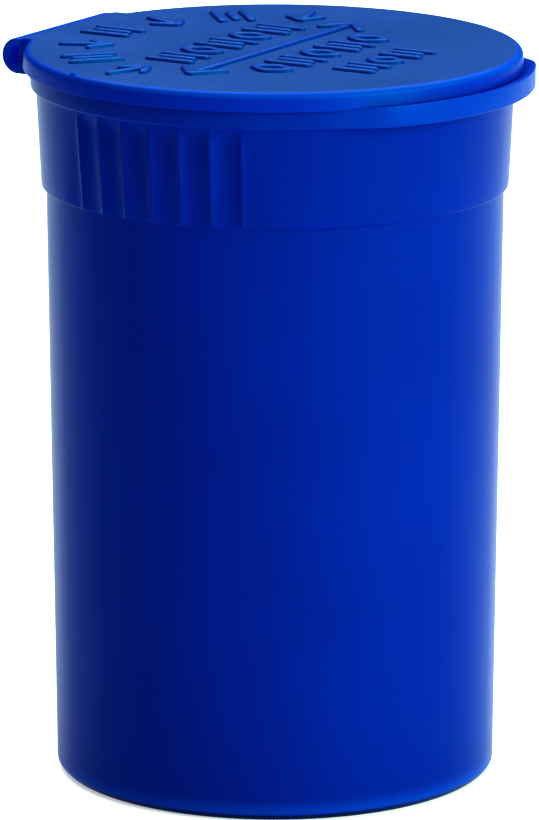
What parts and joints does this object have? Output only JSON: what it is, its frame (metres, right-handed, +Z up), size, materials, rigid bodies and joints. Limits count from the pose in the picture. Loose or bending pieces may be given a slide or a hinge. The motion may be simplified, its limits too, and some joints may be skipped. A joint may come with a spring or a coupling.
{
  "type": "prescription vial",
  "caption": "Closed squeeze-side pill vial: tapered round barrel, ribbed finger panels, mouth flange with a thumb ledge, and a flat lid on a moulded loop hinge.",
  "frame": {"origin": "centre of the standing ring, on the surface that the vial stands on", "axes": "+Z up through the lid, +Y towards the hinge, -Y towards the thumb ledge, grips at -X (left) and +X (right)"},
  "size_m": [0.0536, 0.056, 0.079],
  "materials": {
    "body_blue": "satin moulded polypropylene, opaque blue",
    "grip_blue": "satin moulded polypropylene, ribbed",
    "lid_blue": "fine matt grain on the top face"
  },
  "bodies": {
    "vial": {"vial_body": "body_blue", "hinge_strap": "body_blue"},
    "lid": {"lid_disc": "lid_blue", "lid_plug": "body_blue"},
    "left_grip": {"grip_left": "grip_blue"},
    "right_grip": {"grip_right": "grip_blue"}
  },
  "joints": [
    {"name": "lid_hinge", "type": "hinge", "parent": "vial", "child": "lid", "pos_m": [0, 0.02788, 0.077], "axis": [-1, 0, 0], "range_deg": [0, 175], "deforming": ["hinge_strap"]},
    {"name": "squeeze_left", "type": "hinge", "parent": "vial", "child": "left_grip", "pos_m": [-0.0235, 0, 0.065], "axis": [0, 1, 0], "range_deg": [0, 8], "stiffness_Nm_per_rad": 0.001},
    {"name": "squeeze_right", "type": "hinge", "parent": "vial", "child": "right_grip", "pos_m": [0.0235, 0, 0.065], "axis": [0, -1, 0], "range_deg": [0, 8], "stiffness_Nm_per_rad": 0.001}
  ],
  "couplings": [
    {"joint": "squeeze_right", "follows": "squeeze_left", "ratio": 1}
  ]
}
